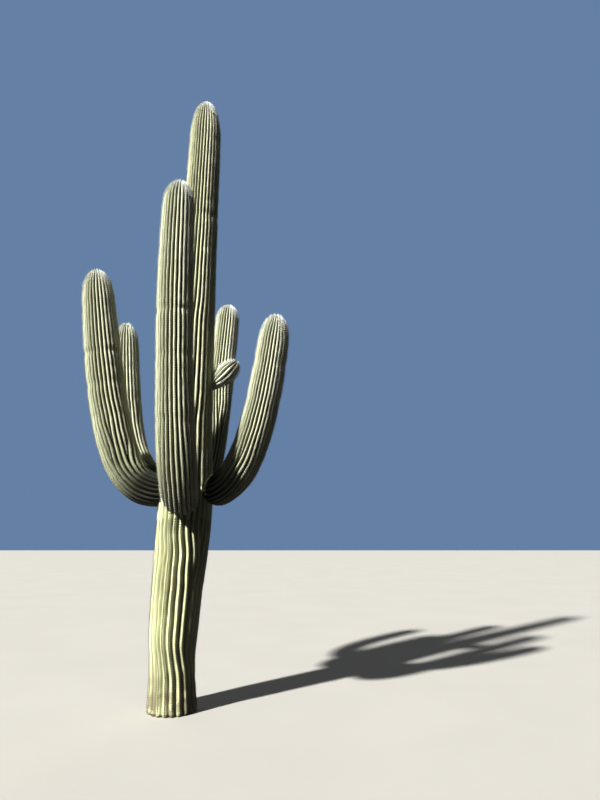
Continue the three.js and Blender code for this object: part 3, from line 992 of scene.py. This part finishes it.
class StudioSettings(bpy.types.PropertyGroup):
    """Light and floor round the plant."""
    key_strength: bpy.props.FloatProperty(
        name="Key Strength", description="Strength of the main light", default=9.0, min=0)
    key_softness: bpy.props.FloatProperty(
        name="Key Softness", description="Width of the main light as seen from the plant",
        default=math.radians(2.5), min=0, subtype="ANGLE", unit="ROTATION")
    key_azimuth: bpy.props.FloatProperty(
        name="Key Azimuth", description="Direction that the main light comes from, from +X",
        default=math.radians(225), subtype="ANGLE", unit="ROTATION")
    key_height: bpy.props.FloatProperty(
        name="Key Height", description="Height of the main light over the horizon",
        default=math.radians(35), subtype="ANGLE", unit="ROTATION")
    fill_strength: bpy.props.FloatProperty(
        name="Fill Strength", description="Strength of the light from all round", default=0.04, min=0)
    gamma: bpy.props.FloatProperty(
        name="Gamma", description="Contrast of the view: lower is deeper shade", default=0.78, min=0.1)
    rim_strength: bpy.props.FloatProperty(
        name="Rim Strength", description="Strength of the broad light from behind", default=0.5, min=0)
    rim_height: bpy.props.FloatProperty(
        name="Rim Height", description="Height of the light from behind over the horizon",
        default=math.radians(30), subtype="ANGLE", unit="ROTATION")
    fill: paint("Fill", "Colour of the light from all round", 0.94, 0.97, 1.0)
    floor: paint("Floor", "Colour of the floor", 0.46, 0.45, 0.435)
    backdrop: paint("Backdrop", "Colour behind the plant", 0.20, 0.30, 0.46)


class SaguaroSettings(bpy.types.PropertyGroup):
    """All settings of the plant."""
    growth: bpy.props.PointerProperty(type=GrowthSettings)
    spines: bpy.props.PointerProperty(type=SpineSettings)
    colours: bpy.props.PointerProperty(type=ColourSettings)
    studio: bpy.props.PointerProperty(type=StudioSettings)


# Operators

class SAGUARO_OT_materials(bpy.types.Operator):
    """Makes the shared shader groups and the finishes of skin, felt and spines"""
    bl_idname = "saguaro.materials"
    bl_label = "Make Finishes"

    def execute(self, context):
        colours = context.scene.saguaro.colours
        growth = context.scene.saguaro.growth
        rib_tint_group()
        areole_row_group()
        skin_relief_group()
        scuff_group()
        old_trunk_group()
        skin_material("trunk_skin", colours, growth, colours.trunk_crest, colours.aged, scuffs=0.12)
        skin_material("arm_skin", colours, growth, colours.crest, colours.elbow, scuffs=0.26)
        skin_material("bud_skin", colours, growth, colours.bud_crest, colours.bud_crest, scuffs=0.05)
        for zone in ZONES:
            plain_material(f"{zone}_felt", getattr(colours, f"{zone}_felt"), roughness=0.95)
            plain_material(f"{zone}_spines", getattr(colours, f"{zone}_spine"), roughness=0.6)
        return {"FINISHED"}


class SAGUARO_OT_trunk(bpy.types.Operator):
    """Grows the ribbed skin of the trunk"""
    bl_idname = "saguaro.trunk"
    bl_label = "Grow Trunk"

    def execute(self, context):
        skin_piece(STEMS[0], context.scene.saguaro.growth, "trunk_skin")
        return {"FINISHED"}


class SAGUARO_OT_arms(bpy.types.Operator):
    """Grows the ribbed skins of the arms"""
    bl_idname = "saguaro.arms"
    bl_label = "Grow Arms"

    def execute(self, context):
        for stem in STEMS[1:]:
            slot = "bud_skin" if stem.name == "bud_arm" else "arm_skin"
            skin_piece(stem, context.scene.saguaro.growth, slot)
        return {"FINISHED"}


class SAGUARO_OT_areoles(bpy.types.Operator):
    """Sets a felt cushion on every areole"""
    bl_idname = "saguaro.areoles"
    bl_label = "Set Areoles"

    def execute(self, context):
        growth = context.scene.saguaro.growth
        for stem, zone, (point, face, along, _) in areole_zones(growth):
            size = growth.areole_size * HABITS[zone]["felt"]
            points, faces = pad_arrays(point, face, along, size)
            piece = mesh_piece(f"{stem.name}_{zone}_areoles", points, faces, False)
            settle(piece, f"{zone}_felt")
        return {"FINISHED"}


class SAGUARO_OT_spines(bpy.types.Operator):
    """Sets the spines on every areole, in one piece for each stem and zone"""
    bl_idname = "saguaro.spines"
    bl_label = "Set Spines"

    def execute(self, context):
        settings = context.scene.saguaro
        draws = {stem.name: np.random.default_rng(stem.seed + 3) for stem in STEMS}
        for stem, zone, places in areole_zones(settings.growth):
            radial, central = (
                spine_arrays(*places, HABITS[zone], kind, settings.spines, draws[stem.name])
                for kind in ("radial", "central")
            )
            points = np.concatenate([radial[0], central[0]])
            faces = np.concatenate([radial[1], central[1] + len(radial[0])])
            piece = mesh_piece(f"{stem.name}_{zone}_spines", points, faces, False)
            settle(piece, f"{zone}_spines")
        return {"FINISHED"}


class SAGUARO_OT_studio(bpy.types.Operator):
    """Sets the floor, the lights and the photo's camera"""
    bl_idname = "saguaro.studio"
    bl_label = "Set Studio"

    def execute(self, context):
        studio = context.scene.saguaro.studio
        scene = context.scene
        far = FLOOR_REACH
        corners = np.array([(-far, -far, 0), (far, -far, 0), (far, far, 0), (-far, far, 0)])
        floor = mesh_piece("studio_floor", corners, np.array([(0, 1, 2), (0, 2, 3)]), False)
        floor.data.materials.append(floor_material(studio.floor))
        # The pale floor shows, but throws no light up into the shade between the ribs
        floor.visible_diffuse = False

        key = bpy.data.objects.new("key_light", bpy.data.lights.new("key_light", "SUN"))
        key.data.energy = studio.key_strength
        key.data.angle = studio.key_softness
        key.data.color = SUN_COLOUR
        level = math.cos(studio.key_height)
        from_light = Vector((
            -math.cos(studio.key_azimuth) * level,
            -math.sin(studio.key_azimuth) * level,
            -math.sin(studio.key_height),
        ))
        key.rotation_euler = from_light.to_track_quat("-Z", "Y").to_euler()
        scene.collection.objects.link(key)

        world = bpy.data.worlds.new("studio_light")
        world.use_nodes = True
        n = Nodes(world.node_tree)
        seen = n.add("ShaderNodeLightPath").outputs["Is Camera Ray"]
        # A broad soft light from behind keeps the back readable, and leaves the photo's side alone
        behind = (0.0, math.cos(studio.rim_height), math.sin(studio.rim_height))
        direction = n.add("ShaderNodeTexCoord").outputs["Generated"]
        facing = n.add("ShaderNodeVectorMath", {0: direction, 1: behind}, operation="DOT_PRODUCT")
        rim = n.rise(facing.outputs["Value"], *RIM_EDGE, 0.0, studio.rim_strength)
        strength = n.plus(rim, studio.fill_strength)
        fill = n.add("ShaderNodeBackground", {"Color": studio.fill, "Strength": strength})
        backdrop = n.add("ShaderNodeBackground", {"Color": studio.backdrop})
        both = n.add("ShaderNodeMixShader", {0: seen, 1: fill.outputs[0], 2: backdrop.outputs[0]})
        n.feed(world.node_tree.nodes["World Output"], {0: both.outputs[0]})
        scene.world = world

        camera = bpy.data.objects.new("photo_camera", bpy.data.cameras.new("photo_camera"))
        camera.data.lens = LENS_MM
        camera.data.sensor_width = FILM_MM
        camera.data.clip_end = 200.0
        camera.location = (EYE_ACROSS, -EYE_DISTANCE, EYE_HEIGHT)
        camera.rotation_euler = (math.pi / 2 + EYE_TILT, 0, 0)
        scene.collection.objects.link(camera)
        scene.camera = camera
        scene.view_settings.view_transform = "Standard"
        scene.view_settings.gamma = studio.gamma
        return {"FINISHED"}


class SAGUARO_PT_panel(bpy.types.Panel):
    """The plant's operators and settings"""
    bl_idname = "SAGUARO_PT_panel"
    bl_label = "Saguaro"
    bl_space_type = "VIEW_3D"
    bl_region_type = "UI"
    bl_category = "Saguaro"

    def draw(self, context):
        settings = context.scene.saguaro
        for group in (settings.growth, settings.spines, settings.colours, settings.studio):
            box = self.layout.box()
            for name in group.bl_rna.properties.keys():
                if name not in ("rna_type", "name"):
                    box.prop(group, name)
        for operator in OPERATORS:
            self.layout.operator(operator.bl_idname)


OPERATORS = (
    SAGUARO_OT_studio, SAGUARO_OT_materials, SAGUARO_OT_trunk, SAGUARO_OT_arms, SAGUARO_OT_areoles,
    SAGUARO_OT_spines,
)
SETTINGS = (GrowthSettings, SpineSettings, ColourSettings, StudioSettings, SaguaroSettings)
CLASSES = SETTINGS + OPERATORS + (SAGUARO_PT_panel,)


def register():
    """Registers the classes and adds the settings to the scene."""
    for cls in CLASSES:
        bpy.utils.register_class(cls)
    bpy.types.Scene.saguaro = bpy.props.PointerProperty(type=SaguaroSettings)


def unregister():
    """Takes the settings and the classes away again."""
    del bpy.types.Scene.saguaro
    for cls in reversed(CLASSES):
        bpy.utils.unregister_class(cls)


def main():
    """Makes the studio and the whole plant."""
    register()
    bpy.ops.saguaro.studio()
    bpy.ops.saguaro.materials()
    bpy.ops.saguaro.trunk()
    bpy.ops.saguaro.arms()
    bpy.ops.saguaro.areoles()
    bpy.ops.saguaro.spines()


if __name__ == "__main__":
    main()
